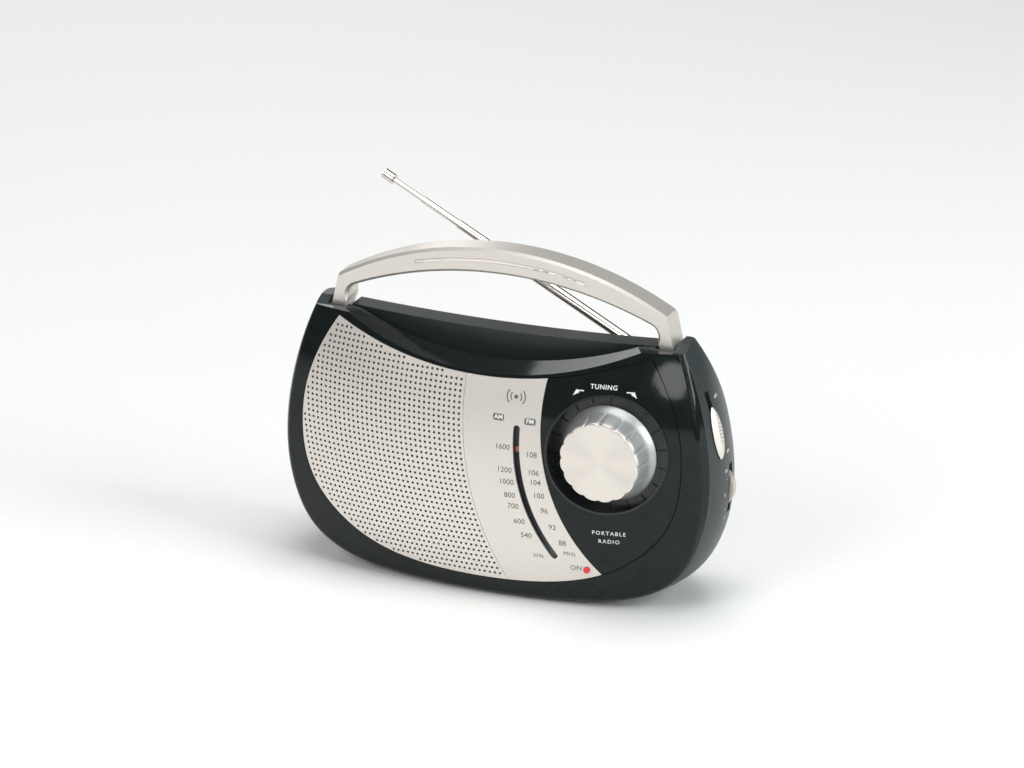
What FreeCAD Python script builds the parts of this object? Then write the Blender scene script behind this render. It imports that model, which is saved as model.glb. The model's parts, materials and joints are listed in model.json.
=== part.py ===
# Portable radio with a carrying handle, built as an assembly of separate pieces.
# Millimetres. +Z is up, the front faces -Y, +X is the right-hand side seen from the front.
# The origin is the point on the table midway between the four rubber feet.
import FreeCAD, Part
import math
import os

V = FreeCAD.Vector

# ---- driving dimensions -----------------------------------------------------------------
WALL = 2.2                     # case wall
MID_Z = 60.0                   # height at which the case is widest
# right half of the case outline seen from the front, from the top corner to the bottom
OUTLINE = [(91.6, 131.0), (99.0, 115.0), (106.6, 91.0), (110.5, 62.0), (106.0, 33.5),
           (96.5, 17.0), (80.0, 6.8), (50.0, 1.9), (0.0, 0.8)]
WIDE_Y = -1.0                  # depth at which the case is widest
FRONT_CURL = 0.000134          # how fast the sides close in towards the front
REAR_CURL = 26.0               # how far the sides close in at the rear
REAR_REACH = 30.0              # and over what depth
FRONT_Y = -38.0                # foremost point of the bulged front
FRONT_Z = 56.5                 # its height
FRONT_RX = 347.0               # radius of the bulge across
FRONT_RZ = 224.0               # radius of the bulge upwards
FRONT_WALL = 3.2               # front wall, with the trim plates let into it
PLATE = 1.1                    # trim plate thickness
PLATE_GAP = 0.35               # shadow line round the trim plates
REAR_ARC = [(2.5, 131.0), (24.0, 70.0), (30.0, -2.0)]      # back of the case, (y, z)
CREASE_R = 4.0                 # rounding between the front and the sides
REAR_R = 5.0                   # rounding between the sides and the back
PART_Y = -13.5                 # joint between the two shells, at PART_Z
PART_Z = 125.0
PART_TILT = 0.06               # the joint comes forward this much per millimetre down
LIP_R = 214.4                  # hollow top edge of the trim plates
LIP_CENTRE_Z = 324.2
LIP_RISE = 12.0                # degrees, slope of the lip behind that edge
SHOULDER = (-12.8, 126.3)      # y, z where the flat shoulder outside a handle leg ends
EAR = (-6.4, 129.0)            # y, z where the ramp behind it reaches the top of the ear
TROUGH_Z = 98.0                # floor of the trough under the handle
TROUGH_BACK = -5.5             # front of the wall behind the trough
BACK_WALL_Z = 122.7            # its top at the middle
NOTCH = (77.0, 87.0)           # slot for each handle leg, in x
NOTCH_Z = 108.0
NOTCH_Y = -11.8

# trim plates on the front: outline points in (x, z), right half from the top corner down
PLATE_OUTLINE = [(78.1, 124.4), (88.1, 106.3), (93.9, 88.5), (95.3, 70.0), (93.4, 55.0),
                 (88.0, 42.0), (77.2, 29.6), (58.4, 18.0), (30.0, 11.2), (0.0, 9.7)]
GRILLE_EDGE = (174.6, 96.6, 182.7)      # arc between grille and dial: x, z, radius
DIAL_EDGE = (138.6, 92.5, 108.5)        # arc between dial and the dark side
SLOT_CENTRE = (117.4, 83.8)             # centre of the curved pointer slot
SLOT_R = 98.8
SLOT_W = 3.2
SLOT_FROM, SLOT_TO = -2.0, 35.5         # degrees below level
POINTER_AT = 4.2                        # where the pointer stands
POINTER_SWEEP = 26.3

KNOB = (61.0, 78.5)                     # tuning knob axis
RING_R = 28.5
RING_FLOOR_Y = -26.2
KNOB_BACK_Y = -26.6
KNOB_BASE_R = 23.2
KNOB_FACE_R = 19.1
KNOB_FACE_Y = -40.5
GRIPS = 16
TICKS = 18

LED = (52.1, 20.5)
SPEAKER = (-50.0, 68.0)
SPEAKER_Y = -23.5
SPEAKER_R = 33.0

HANDLE_PIVOT = (-3.0, 116.0)            # y, z
HANDLE_TOP = 163.2
HANDLE_TOP_R = 166.0
HANDLE_UNDER = 151.3
HANDLE_UNDER_R = 195.0
HANDLE_Y = (-10.0, 4.0)
LEG_OUT = (85.9, 81.8)                  # outer face of a leg, below the bend and at the corner
LEG_IN = (79.8, 77.5)
LEG_BEND_Z = 124.0                      # below this a leg is straight, above it leans inwards
PIN_R = 2.0
RUN = 0.05                              # radial clearance of every turning fit

WHEEL = (101.1, 58.6)
WHEEL_R = 11.5
WHEEL_Y = (0.2, 3.2)
SWITCH = (-8.3, 88.3)                   # y, z of the band switch knob
SWITCH_TRACK = (-21.5, 60.0)            # x, z of the centre of its curved track
SWITCH_TRAVEL = 3.4                     # degrees

AERIAL = V(66.1, 20.0, 109.0)           # tilt pivot
AERIAL_DIR = V(-0.906, 0.179, 0.383)
AERIAL_AXIS = V(0.194, 0.981, 0.0)
# radius, start and end of each telescope section, measured from the tilt pivot
AERIAL_TUBES = [(2.5, 4.0, 100.0), (2.1, 29.0, 119.4), (1.7, 56.0, 141.8), (1.3, 78.0, 162.0)]

CELL_R = 13.0
CELL_LEN = 50.0
CELL_Y = 9.6
CELL_Z = (21.0, 48.0)
DOOR = (-50.0, 50.0, 9.0, 61.0)         # battery door x0, x1, z0, z1
BOARD_Y = (-8.0, -6.4)
BOARD = (7.0, 100.0, 24.0, 94.0)
CASE_SCREWS = [(-88.0, 50.0), (88.0, 42.0), (-84.0, 94.0), (88.0, 96.0)]
PIN_X = (75.4, 88.6)                    # ends of a handle pin
RAIL_R = 93.0                           # radius of the rail that carries the pointer
FOOT_R, FOOT_H = 6.0, 4.6
INLET_X = 84.0                          # floor of the mains inlet recess
INLET_Y = (6.0, 15.0)
INLET_Z = (13.5, 31.0)
JACK = (-2.0, 60.0)                     # y, z of the earphone socket on the left
JACK_R = 1.8
BOARD_SCREWS = [(10.0, 88.0), (94.0, 77.0), (10.0, 68.0), (74.0, 28.0)]
IF_CANS = [(74.0, 56.0), (83.0, 56.0), (74.0, 46.0), (76.0, 84.0)]
ELECTROLYTICS = [(34, 34, 4.0, 12), (44, 34, 4.0, 12), (54, 34, 3.2, 11), (62, 36, 3.2, 9), (34, 45, 2.6, 8)]
CHIPS = [(40.0, 46.0, 20.0), (20.0, 48.0, 12.0)]
FERRITE = (8.0, 84.0)
FEET = [(x, y) for x in (-55.0, 55.0) for y in (-9.0, 19.0)]


# ---- small helpers ----------------------------------------------------------------------
def box(x0, x1, y0, y1, z0, z1):
    return Part.makeBox(x1 - x0, y1 - y0, z1 - z0, V(x0, y0, z0))


def rod_x(y, z, r, x0, x1):
    return Part.makeCylinder(r, x1 - x0, V(x0, y, z), V(1, 0, 0))


def rod_y(x, z, r, y0, y1):
    return Part.makeCylinder(r, y1 - y0, V(x, y0, z), V(0, 1, 0))


def rod_z(x, y, r, z0, z1):
    return Part.makeCylinder(r, z1 - z0, V(x, y, z0))


def rod(start, direction, r, s0, s1):
    d = V(direction).normalize()
    return Part.makeCylinder(r, s1 - s0, start + d * s0, d)


def fuse(shapes):
    solid = shapes[0]
    for other in shapes[1:]:
        solid = solid.fuse(other)
    return solid.removeSplitter()


def cut(shape, tools):
    for tool in tools:
        shape = shape.cut(tool)
    return shape


def save(name, shape):
    solids = shape.Solids
    assert solids, name + " is empty"
    shape = solids[0] if len(solids) == 1 else Part.makeCompound(solids)
    assert shape.isValid(), name + " is not valid"
    shape.exportStep("parts/" + name + ".step")
    print("%-26s %d solid(s) %9.1f mm3" % (name, len(solids), shape.Volume))


def arc3(a, b, c):
    return Part.Arc(a, b, c).toShape()


def smooth(points):
    curve = Part.BSplineCurve()
    curve.interpolate(points)
    return curve.toShape()


def prism_y(edges, y0, y1):
    """A solid with the given closed outline (drawn at y = 0), from y0 to y1."""
    face = Part.Face(Part.Wire(edges))
    face.translate(V(0, y0, 0))
    return face.extrude(V(0, y1 - y0, 0))


# ---- the case as one solid --------------------------------------------------------------
def side_scale(y):
    """How much narrower the case is at depth y than at its widest."""
    if y < WIDE_Y:
        return 1 - FRONT_CURL * (y - WIDE_Y) ** 2
    closed = REAR_CURL * (1 - math.sqrt(1 - ((y - WIDE_Y) / (REAR_REACH + 3.5)) ** 2))
    return 1 - closed / OUTLINE[3][0]


def outline_wire(y, inset):
    half = OUTLINE[3][0]
    sx = side_scale(y) * (1 - inset / half)
    sz = 1 - inset / (MID_Z - OUTLINE[-1][1])
    right = [V(x * sx, y, MID_Z + (z - MID_Z) * sz) for x, z in OUTLINE]
    left = [V(-p.x, p.y, p.z) for p in reversed(right[:-1])]
    curve = smooth(right + left)
    return Part.Wire([curve, Part.makeLine(left[-1], right[0])])


def rounded_sides(inset):
    stations = [-42, -31, -22, -12, WIDE_Y, 9, 18, 25, 31]
    return Part.makeLoft([outline_wire(y, inset) for y in stations], True)


def front_zone(offset):
    """Everything behind the bulged front; a positive offset moves that surface forward."""
    r = FRONT_RZ + offset
    cy = FRONT_Y + FRONT_RZ
    half = 96.0
    side = math.sqrt(r * r - half * half)
    a, b = V(0, cy - side, FRONT_Z - half), V(0, cy - side, FRONT_Z + half)
    c, d = V(0, 70, FRONT_Z + half), V(0, 70, FRONT_Z - half)
    edges = [arc3(a, V(0, cy - r, FRONT_Z), b), Part.makeLine(b, c), Part.makeLine(c, d),
             Part.makeLine(d, a)]
    face = Part.Face(Part.Wire(edges))
    axis = V(0, FRONT_Y + FRONT_RX, 0)
    sweep = 28.0
    face.rotate(axis, V(0, 0, 1), -sweep)
    return face.revolve(axis, V(0, 0, 1), 2 * sweep)


def rear_zone(inset):
    """Everything in front of the curved back."""
    p = [V(-130, y - inset, z) for y, z in REAR_ARC]
    far = [V(-130, -60, REAR_ARC[2][1]), V(-130, -60, REAR_ARC[0][1])]
    edges = [arc3(p[0], p[1], p[2]), Part.makeLine(p[2], far[0]), Part.makeLine(far[0], far[1]),
             Part.makeLine(far[1], p[0])]
    return Part.Face(Part.Wire(edges)).extrude(V(260, 0, 0))


def above_lip(grow):
    """Space above the hollow lip in front of the trough."""
    r = LIP_R + grow
    x = 118.0
    z = LIP_CENTRE_Z - math.sqrt(r * r - x * x) + 0.9
    low = LIP_CENTRE_Z - r + 0.9
    edges = [arc3(V(-x, 0, z), V(0, 0, low), V(x, 0, z)), Part.makeLine(V(x, 0, z), V(x, 0, 200)),
             Part.makeLine(V(x, 0, 200), V(-x, 0, 200)), Part.makeLine(V(-x, 0, 200), V(-x, 0, z))]
    face = Part.Face(Part.Wire(edges))
    slope = math.tan(math.radians(LIP_RISE))
    edge_y = -32.0
    start, end = -60.0, TROUGH_BACK + grow
    face.translate(V(0, start, (start - edge_y) * slope))
    return face.extrude(V(0, end - start, (end - start) * slope))


def trough(grow):
    """The hollow under the handle: its front wall bows forward at the middle."""
    x, back = NOTCH[0] + 0.4 + grow, TROUGH_BACK + grow
    ends, middle = -10.5 - grow, -18.0 - grow
    edges = [arc3(V(-x, ends, 0), V(0, middle, 0), V(x, ends, 0)),
             Part.makeLine(V(x, ends, 0), V(x, back, 0)),
             Part.makeLine(V(x, back, 0), V(-x, back, 0)),
             Part.makeLine(V(-x, back, 0), V(-x, ends, 0))]
    face = Part.Face(Part.Wire(edges))
    face.translate(V(0, 0, TROUGH_Z - grow))
    solid = face.extrude(V(0, 0, 60))
    if grow == 0:
        floor = [e for e in solid.Edges if e.BoundBox.ZMax < TROUGH_Z + 0.01]
        solid = solid.makeFillet(2.0, floor)
    return solid


def above_back_wall(grow):
    """Space above the wall behind the trough; its top edge is slightly hollow."""
    x, low = NOTCH[1] + grow, BACK_WALL_Z - grow
    rise = x * x / 2000.0
    edges = [arc3(V(-x, 0, low + rise), V(0, 0, low), V(x, 0, low + rise)),
             Part.makeLine(V(x, 0, low + rise), V(x, 0, 200)),
             Part.makeLine(V(x, 0, 200), V(-x, 0, 200)),
             Part.makeLine(V(-x, 0, 200), V(-x, 0, low + rise))]
    return prism_y(edges, TROUGH_BACK - 0.01, 60)


def notches(grow):
    solids = []
    for side in (-1, 1):
        x0, x1 = sorted((side * (NOTCH[0] - grow), side * (NOTCH[1] + grow)))
        solids.append(box(x0, x1, NOTCH_Y - grow, 60, NOTCH_Z - grow, 200))
    return solids


def above_shoulders(grow):
    """Space above the shoulders: level at the front, then a short ramp up to the ears."""
    points = [V(-130, -60, SHOULDER[1] - grow), V(-130, SHOULDER[0], SHOULDER[1] - grow),
              V(-130, EAR[0], EAR[1] - grow), V(-130, 60, EAR[1] - grow), V(-130, 60, 200),
              V(-130, -60, 200)]
    return Part.Face(Part.makePolygon(points + [points[0]])).extrude(V(260, 0, 0))


def top_cuts(grow):
    cuts = [above_lip(grow), trough(grow), above_back_wall(grow)] + notches(grow)
    cuts.append(above_shoulders(grow))
    return cuts


def case_outside():
    solid = rounded_sides(0).common(front_zone(0)).common(rear_zone(0))
    crease = [e for e in solid.Edges
              if e.BoundBox.YMax < -12 and e.BoundBox.ZMin < 100 and e.Length > 60]
    solid = solid.makeFillet(CREASE_R, crease)
    back = [e for e in solid.Edges
            if e.BoundBox.YMin > 0 and e.BoundBox.ZMin < 100 and e.Length > 60]
    return solid.makeFillet(REAR_R, back)


def case_cavity():
    solid = rounded_sides(WALL).common(front_zone(-FRONT_WALL)).common(rear_zone(WALL))
    return cut(solid, top_cuts(WALL))


def ahead_of_joint():
    """The half space in front of the joint between the two shells."""
    slope = PART_TILT
    top, bottom = 200.0, -50.0
    y_top = PART_Y + (top - PART_Z) * slope
    y_bottom = PART_Y + (bottom - PART_Z) * slope
    points = [V(-130, -80, bottom), V(-130, y_bottom, bottom), V(-130, y_top, top), V(-130, -80, top)]
    return Part.Face(Part.makePolygon(points + [points[0]])).extrude(V(260, 0, 0))


# ---- trim plates ------------------------------------------------------------------------
def plate_edges(gap):
    """Closed outline of the three trim plates together, drawn at y = 0."""
    shrink = 1 - gap / PLATE_OUTLINE[3][0]
    right = [V(x * shrink, 0, z + gap if z < MID_Z else z) for x, z in PLATE_OUTLINE]
    corner = V(right[0].x, 0, right[0].z - gap)
    right[0] = corner
    left = [V(-p.x, 0, p.z) for p in reversed(right[:-1])]
    middle = V(0, 0, LIP_CENTRE_Z - LIP_R - gap)
    return [smooth(right + left), arc3(left[-1], middle, right[0])]


def arc_side(centre_x, centre_z, radius, side):
    """The half of the front to the left (-1) or right (+1) of an arc that bows to the left."""
    disc = rod_y(centre_x, centre_z, radius, -70, 20)
    if side > 0:
        return disc
    return box(-130, 60, -70, 20, -30, 160).cut(disc)


def plate_layer(outer, inner):
    """The layer of the front between two offsets, inside the plates' outline."""
    prism = prism_y(plate_edges(PLATE_GAP), -60, 0)
    return prism.common(front_zone(outer)).cut(front_zone(inner))


def slot_tool(width, a0, a1, y0, y1):
    """A curved slot with round ends about the slot centre, angles in degrees below level."""
    cx, cz = SLOT_CENTRE

    def at(radius, angle):
        t = math.radians(angle)
        return V(cx - radius * math.cos(t), 0, cz - radius * math.sin(t))
    r0, r1 = SLOT_R - width / 2, SLOT_R + width / 2
    mid = (a0 + a1) / 2
    edges = [arc3(at(r1, a0), at(r1, mid), at(r1, a1)), Part.makeLine(at(r1, a1), at(r0, a1)),
             arc3(at(r0, a1), at(r0, mid), at(r0, a0)), Part.makeLine(at(r0, a0), at(r1, a0))]
    solid = prism_y(edges, y0, y1)
    ends = [rod_y(at(SLOT_R, a).x, at(SLOT_R, a).z, width / 2, y0, y1) for a in (a0, a1)]
    return fuse([solid] + ends)


def sector(r0, r1, a0, a1, y0, y1):
    """Part of a flat ring about the slot centre, between two angles below level."""
    cx, cz = SLOT_CENTRE

    def at(radius, angle):
        t = math.radians(angle)
        return V(cx - radius * math.cos(t), 0, cz - radius * math.sin(t))
    mid = (a0 + a1) / 2
    edges = [arc3(at(r1, a0), at(r1, mid), at(r1, a1)), Part.makeLine(at(r1, a1), at(r0, a1)),
             arc3(at(r0, a1), at(r0, mid), at(r0, a0)), Part.makeLine(at(r0, a0), at(r1, a0))]
    return prism_y(edges, y0, y1)


def build_trim():
    layer = plate_layer(0, -PLATE)
    dial_x, dial_z, dial_r = DIAL_EDGE
    grille_x, grille_z, grille_r = GRILLE_EDGE
    save("speaker_grille", layer.common(arc_side(grille_x, grille_z, grille_r + 0.15, -1)))
    dial = layer.common(arc_side(grille_x, grille_z, grille_r, 1))
    dial = dial.common(arc_side(dial_x, dial_z, dial_r + 0.15, -1))
    dial = dial.cut(slot_tool(SLOT_W, SLOT_FROM, SLOT_TO, -60, 0))
    save("dial_plate", dial.cut(rod_y(LED[0], LED[1], 1.65, -60, 0)))
    fascia = layer.common(arc_side(dial_x, dial_z, dial_r, 1))
    save("knob_fascia", fascia.cut(rod_y(KNOB[0], KNOB[1], RING_R + 0.1, -60, 0)))


# ---- tuning drive -----------------------------------------------------------------------
def build_ring():
    x, z = KNOB
    wall = rod_y(x, z, RING_R, -45, RING_FLOOR_Y + 1.6).cut(rod_y(x, z, RING_R - 1.1, -46, RING_FLOOR_Y))
    dish = wall.common(front_zone(0.4))
    dish = dish.cut(rod_y(x, z, 9.0, -46, 0))
    ribs = []
    for i in range(TICKS):
        rib = box(x + KNOB_BASE_R + 0.9, x + RING_R - 0.6, RING_FLOOR_Y - 0.7, RING_FLOOR_Y + 0.4,
                  z - 0.35, z + 0.35)
        rib.rotate(V(x, 0, z), V(0, 1, 0), i * 360.0 / TICKS + 10)
        ribs.append(rib)
    save("tuning_ring", fuse([dish] + ribs))


def build_knob():
    x, z = KNOB
    profile = [(3.0, KNOB_BACK_Y), (5.5, KNOB_BACK_Y), (5.5, -37.0), (KNOB_FACE_R - 2.0, -37.0),
               (KNOB_BASE_R - 1.8, KNOB_BACK_Y), (KNOB_BASE_R, KNOB_BACK_Y),
               (KNOB_BASE_R, KNOB_BACK_Y - 0.8), (KNOB_FACE_R, KNOB_FACE_Y + 1.0), (3.0, KNOB_FACE_Y + 1.0)]
    points = [V(x + r, y, z) for r, y in profile]
    skirt = Part.Face(Part.makePolygon(points + [points[0]])).revolve(V(x, 0, z), V(0, 1, 0), 360)
    cap = rod_y(x, z, KNOB_FACE_R, KNOB_FACE_Y, KNOB_FACE_Y + 1.0)
    for i in range(GRIPS):
        angle = i * 360.0 / GRIPS
        groove = box(x + KNOB_FACE_R - 0.9, x + KNOB_BASE_R + 2, -42, -31, z - 0.5, z + 0.5)
        groove.rotate(V(x + KNOB_FACE_R - 0.9, -39, z), V(0, 0, 1), 18)
        groove.rotate(V(x, 0, z), V(0, 1, 0), angle)
        skirt = skirt.cut(groove)
        notch = rod_y(x + KNOB_FACE_R + 0.25, z, 0.8, -42, -39)
        notch.rotate(V(x, 0, z), V(0, 1, 0), angle)
        cap = cap.cut(notch)
    save("tuning_knob", skirt)
    save("tuning_knob_cap", cap)
    shaft = rod_y(x, z, 3.0, KNOB_FACE_Y + 1.0, -12.0)
    save("tuning_shaft", shaft)
    drum = rod_y(x, z, 18.5, -23.0, -20.0).cut(rod_y(x, z, 3.0, -24, -19))
    groove = Part.makeTorus(18.9, 1.0, V(x, -21.5, z), V(0, 1, 0))
    windows = [rod_y(x + 11 * math.cos(t), z + 11 * math.sin(t), 3.6, -24, -19)
               for t in (0.3, 2.4, 4.5)]
    save("dial_drum", cut(drum, [groove] + windows))


def build_pointer():
    """Back plate, curved rail, and the pointer that rides on the rail."""
    cx, cz = SLOT_CENTRE
    back = box(13, 49.5, -40, -27.9, 22, 93).common(front_zone(-FRONT_WALL - 0.05))
    back = back.cut(box(14, 48.5, -45, -28.9, 23, 92))
    back = back.cut(rod_y(KNOB[0], KNOB[1], RING_R + 0.6, -40, 0))
    save("dial_backplate", back)
    rail = sector(RAIL_R - 0.8, RAIL_R + 0.8, SLOT_FROM - 1, SLOT_TO + 1, -31.6, -28.9)
    save("pointer_rail", rail)
    blade = box(cx - SLOT_R - 1.5, cx - RAIL_R + 3.0, -33.55, -32.6, cz - 1.2, cz + 1.2)
    clip = sector(RAIL_R - 2.2, RAIL_R + 2.2, -1.6, 1.6, -32.95, -29.4)
    clip = clip.cut(sector(RAIL_R - 0.85, RAIL_R + 0.85, -3, 3, -31.65, -20))
    pointer = fuse([blade, clip])
    pointer.rotate(V(cx, 0, cz), V(0, -1, 0), POINTER_AT)
    save("dial_pointer", pointer)


def build_led():
    x, z = LED
    save("led_lens", fuse([rod_y(x, z, 1.5, -31.9, -24.0), rod_y(x, z, 1.9, -27.2, -24.0)]))


# ---- shells -----------------------------------------------------------------------------
def front_openings():
    """Holes through the front wall behind the trim plates."""
    cuts = [rod_y(SPEAKER[0], SPEAKER[1], 30.0, -60, -10),
            rod_y(KNOB[0], KNOB[1], RING_R + 0.15, -60, -10),
            rod_y(LED[0], LED[1], 1.6, -60, -10)]
    window = box(14.5, 46.5, -60, -20, 24, 91)
    cuts.append(window)
    return cuts


def build_shells():
    outside, cavity = case_outside(), case_cavity()
    whole = cut(outside, top_cuts(0))
    ahead = ahead_of_joint()
    recess = prism_y(plate_edges(0), -60, 0).common(front_zone(5)).cut(front_zone(-PLATE))
    hollow = whole.cut(cavity)
    front = cut(hollow.common(ahead).cut(recess), front_openings())
    rear = hollow.cut(ahead)
    posts = []
    for x, z in CASE_SCREWS:
        posts.append(rod_y(x, z, 3.6, -32, -4).common(front_zone(-1.5)))
    for x, z in BOARD_SCREWS:
        posts.append(rod_y(x, z, 2.8, -36, BOARD_Y[0]).common(front_zone(-1.5)))
    front = fuse([front] + posts)
    front = cut(front, [rod_y(x, z, 1.2, -14, 0) for x, z in CASE_SCREWS])
    front = cut(front, [rod_y(x, z, 1.3, BOARD_Y[0] - 6.1, 0) for x, z in BOARD_SCREWS])
    for x, z in CASE_SCREWS:
        tube = rod_y(x, z, 3.6, -3.9, 40).common(rear_zone(1.0)).common(rounded_sides(1.0))
        rear = rear.fuse(tube)
        rear = rear.cut(rod_y(x, z, 1.6, -5, 60))
        rear = rear.cut(rod_y(x, z, 3.0, screw_seat(z), 60))
    rear = rear_details(rear)
    save("front_shell", front)
    save("rear_shell", rear)


def screw_seat(z):
    return rear_y(z) - 10.0


def rear_y(z):
    """Depth of the curved back at height z, from the circle through its three points."""
    (y0, z0), (y1, z1), (y2, z2) = REAR_ARC
    d = 2 * (y0 * (z1 - z2) + y1 * (z2 - z0) + y2 * (z0 - z1))
    s0, s1, s2 = y0 * y0 + z0 * z0, y1 * y1 + z1 * z1, y2 * y2 + z2 * z2
    cy = (s0 * (z1 - z2) + s1 * (z2 - z0) + s2 * (z0 - z1)) / d
    cz = (s0 * (y2 - y1) + s1 * (y0 - y2) + s2 * (y1 - y0)) / d
    r = math.hypot(y0 - cy, z0 - cz)
    return cy + math.sqrt(r * r - (z - cz) ** 2)


def rear_details(rear):
    """Openings and mouldings of the rear shell."""
    x0, x1, z0, z1 = DOOR
    rear = rear.cut(box(x0, x1, 15, 60, z0, z1))
    # slots for the volume wheel and the band switch
    wx, wz = WHEEL
    rear = rear.cut(box(98, 120, WHEEL_Y[0] - 0.7, WHEEL_Y[1] + 0.7, wz - 12.0, wz + 12.0))
    sy, sz = SWITCH
    rear = rear.cut(box(96, 120, sy - 1.6, sy + 1.6, sz - 12.0, sz + 19.5))
    # mains inlet recess and earphone socket hole
    (y0, y1), (z0, z1) = INLET_Y, INLET_Z
    tub = box(INLET_X - 1.4, 120, y0 - 1.4, y1 + 1.4, z0 - 1.4, z1 + 1.4).common(rounded_sides(0.8))
    rear = rear.fuse(tub)
    rear = rear.cut(box(INLET_X, 120, y0, y1, z0, z1))
    mid_y, mid_z = (y0 + y1) / 2, (z0 + z1) / 2
    rear = rear.cut(box(INLET_X - 3, INLET_X + 1, mid_y - 3, mid_y + 3, mid_z - 7, mid_z + 7))
    rear = rear.cut(rod_x(JACK[0], JACK[1], 3.2, -120, -95))
    # pins of the handle
    hy, hz = HANDLE_PIVOT
    for side in (-1, 1):
        a, b = sorted((side * PIN_X[0], side * PIN_X[1]))
        rear = rear.cut(rod_x(hy, hz, PIN_R, a, b))
    # ledge that carries the aerial
    ledge = box(AERIAL.x - 7, AERIAL.x + 7, 9.5, AERIAL.y + 6.0, 88.0, 100.8)
    toe = box(AERIAL.x - 8, AERIAL.x + 8, 0, 40, 0, 30)
    toe.rotate(V(AERIAL.x, 0, 30), V(1, 0, 0), 45)
    toe.translate(V(0, AERIAL.y + 6.5, 58.0))
    ledge = ledge.cut(toe)
    rear = rear.fuse(ledge)
    rear = rear.cut(rod_z(AERIAL.x, AERIAL.y, 2.0 + RUN, 80, 110))
    rear = rear.cut(rod_z(AERIAL.x, AERIAL.y, 5.2, 100.8, 130))
    # sound and cooling slots in the back
    for i in range(7):
        z = 70.0 + 4.0 * i
        rear = rear.cut(box(-40, 10, 8, 60, z, z + 1.6))
    for foot in FEET:
        rear = rear.cut(rod_z(foot[0], foot[1], FOOT_R, -5, FOOT_H))
    return rear


def build_feet():
    feet = [rod_z(x, y, FOOT_R, 0, FOOT_H) for x, y in FEET]
    save("rubber_feet", Part.makeCompound(feet))


def build_screws():
    screws = []
    for x, z in CASE_SCREWS:
        seat = screw_seat(z)
        head = rod_y(x, z, 2.8, seat, seat + 2.0)
        head = head.cut(box(x - 1.6, x + 1.6, seat + 1.0, seat + 3, z - 0.35, z + 0.35))
        head = head.cut(box(x - 0.35, x + 0.35, seat + 1.0, seat + 3, z - 1.6, z + 1.6))
        screws.append(fuse([rod_y(x, z, 1.2, -13.5, seat), head]))
    save("case_screws", Part.makeCompound(screws))


# ---- handle -----------------------------------------------------------------------------
def handle_outline():
    """Closed outline of the arched handle seen from the front, down to the pivots."""
    foot_z = HANDLE_PIVOT[1] - 6.0
    corner_out = 141.6
    rise = HANDLE_TOP_R - math.sqrt(HANDLE_TOP_R ** 2 - LEG_OUT[1] ** 2)
    top_end = HANDLE_TOP - rise
    under_half = 74.0
    under_end = HANDLE_UNDER - HANDLE_UNDER_R + math.sqrt(HANDLE_UNDER_R ** 2 - under_half ** 2)
    turn = V(LEG_IN[1] - 0.6, 0, under_end - 2.6)
    right = [V(LEG_OUT[0], 0, foot_z), V(LEG_OUT[1], 0, min(corner_out, top_end))]
    inner = [V(LEG_IN[0], 0, foot_z), V(LEG_IN[1], 0, under_end - 7.0), turn, V(under_half, 0, under_end)]
    bend_out, bend_in = V(LEG_OUT[0], 0, LEG_BEND_Z), V(LEG_IN[0], 0, LEG_BEND_Z)

    def mirror(p):
        return V(-p.x, p.y, p.z)
    edges = [Part.makeLine(right[0], bend_out), Part.makeLine(bend_out, right[1]),
             arc3(right[1], V(0, 0, HANDLE_TOP), mirror(right[1])),
             Part.makeLine(mirror(right[1]), mirror(bend_out)),
             Part.makeLine(mirror(bend_out), mirror(right[0])),
             Part.makeLine(mirror(right[0]), mirror(inner[0])),
             Part.makeLine(mirror(inner[0]), mirror(bend_in)),
             Part.makeLine(mirror(bend_in), mirror(inner[1])),
             arc3(mirror(inner[1]), mirror(turn), mirror(inner[3])),
             arc3(mirror(inner[3]), V(0, 0, HANDLE_UNDER), inner[3]),
             arc3(inner[3], turn, inner[1]),
             Part.makeLine(inner[1], bend_in), Part.makeLine(bend_in, inner[0]),
             Part.makeLine(inner[0], right[0])]
    return edges


def build_handle():
    y0, y1 = HANDLE_Y
    hy, hz = HANDLE_PIVOT
    handle = prism_y(handle_outline(), y0, y1)
    # round feet of the legs about the pivot
    below = box(-90, 90, y0 - 1, y1 + 1, hz - 8, hz)
    rounds = rod_x(hy, hz, 6.0, -90, 90)
    handle = handle.cut(below.cut(rounds))
    long_edges = [e for e in handle.Edges
                  if e.Length > 120 and abs(e.BoundBox.YMin - e.BoundBox.YMax) < 0.01]
    handle = handle.makeChamfer(1.3, long_edges)
    # shallow groove along the front of the grip
    radius = 180.0
    centre = 157.4 - radius
    ring = Part.makeTorus(radius, 0.9, V(0, y0 - 0.2, centre), V(0, 1, 0))
    handle = handle.cut(ring.common(box(-43, 43, y0 - 3, y0 + 3, 140, 170)))
    handle = handle.cut(rod_x(hy, hz, PIN_R + RUN, -90, 90))
    save("carry_handle", handle)
    pins = []
    for side in (-1, 1):
        a, b = sorted((side * PIN_X[0], side * PIN_X[1]))
        pins.append(rod_x(hy, hz, PIN_R, a, b))
    save("handle_pins", Part.makeCompound(pins))


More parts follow.
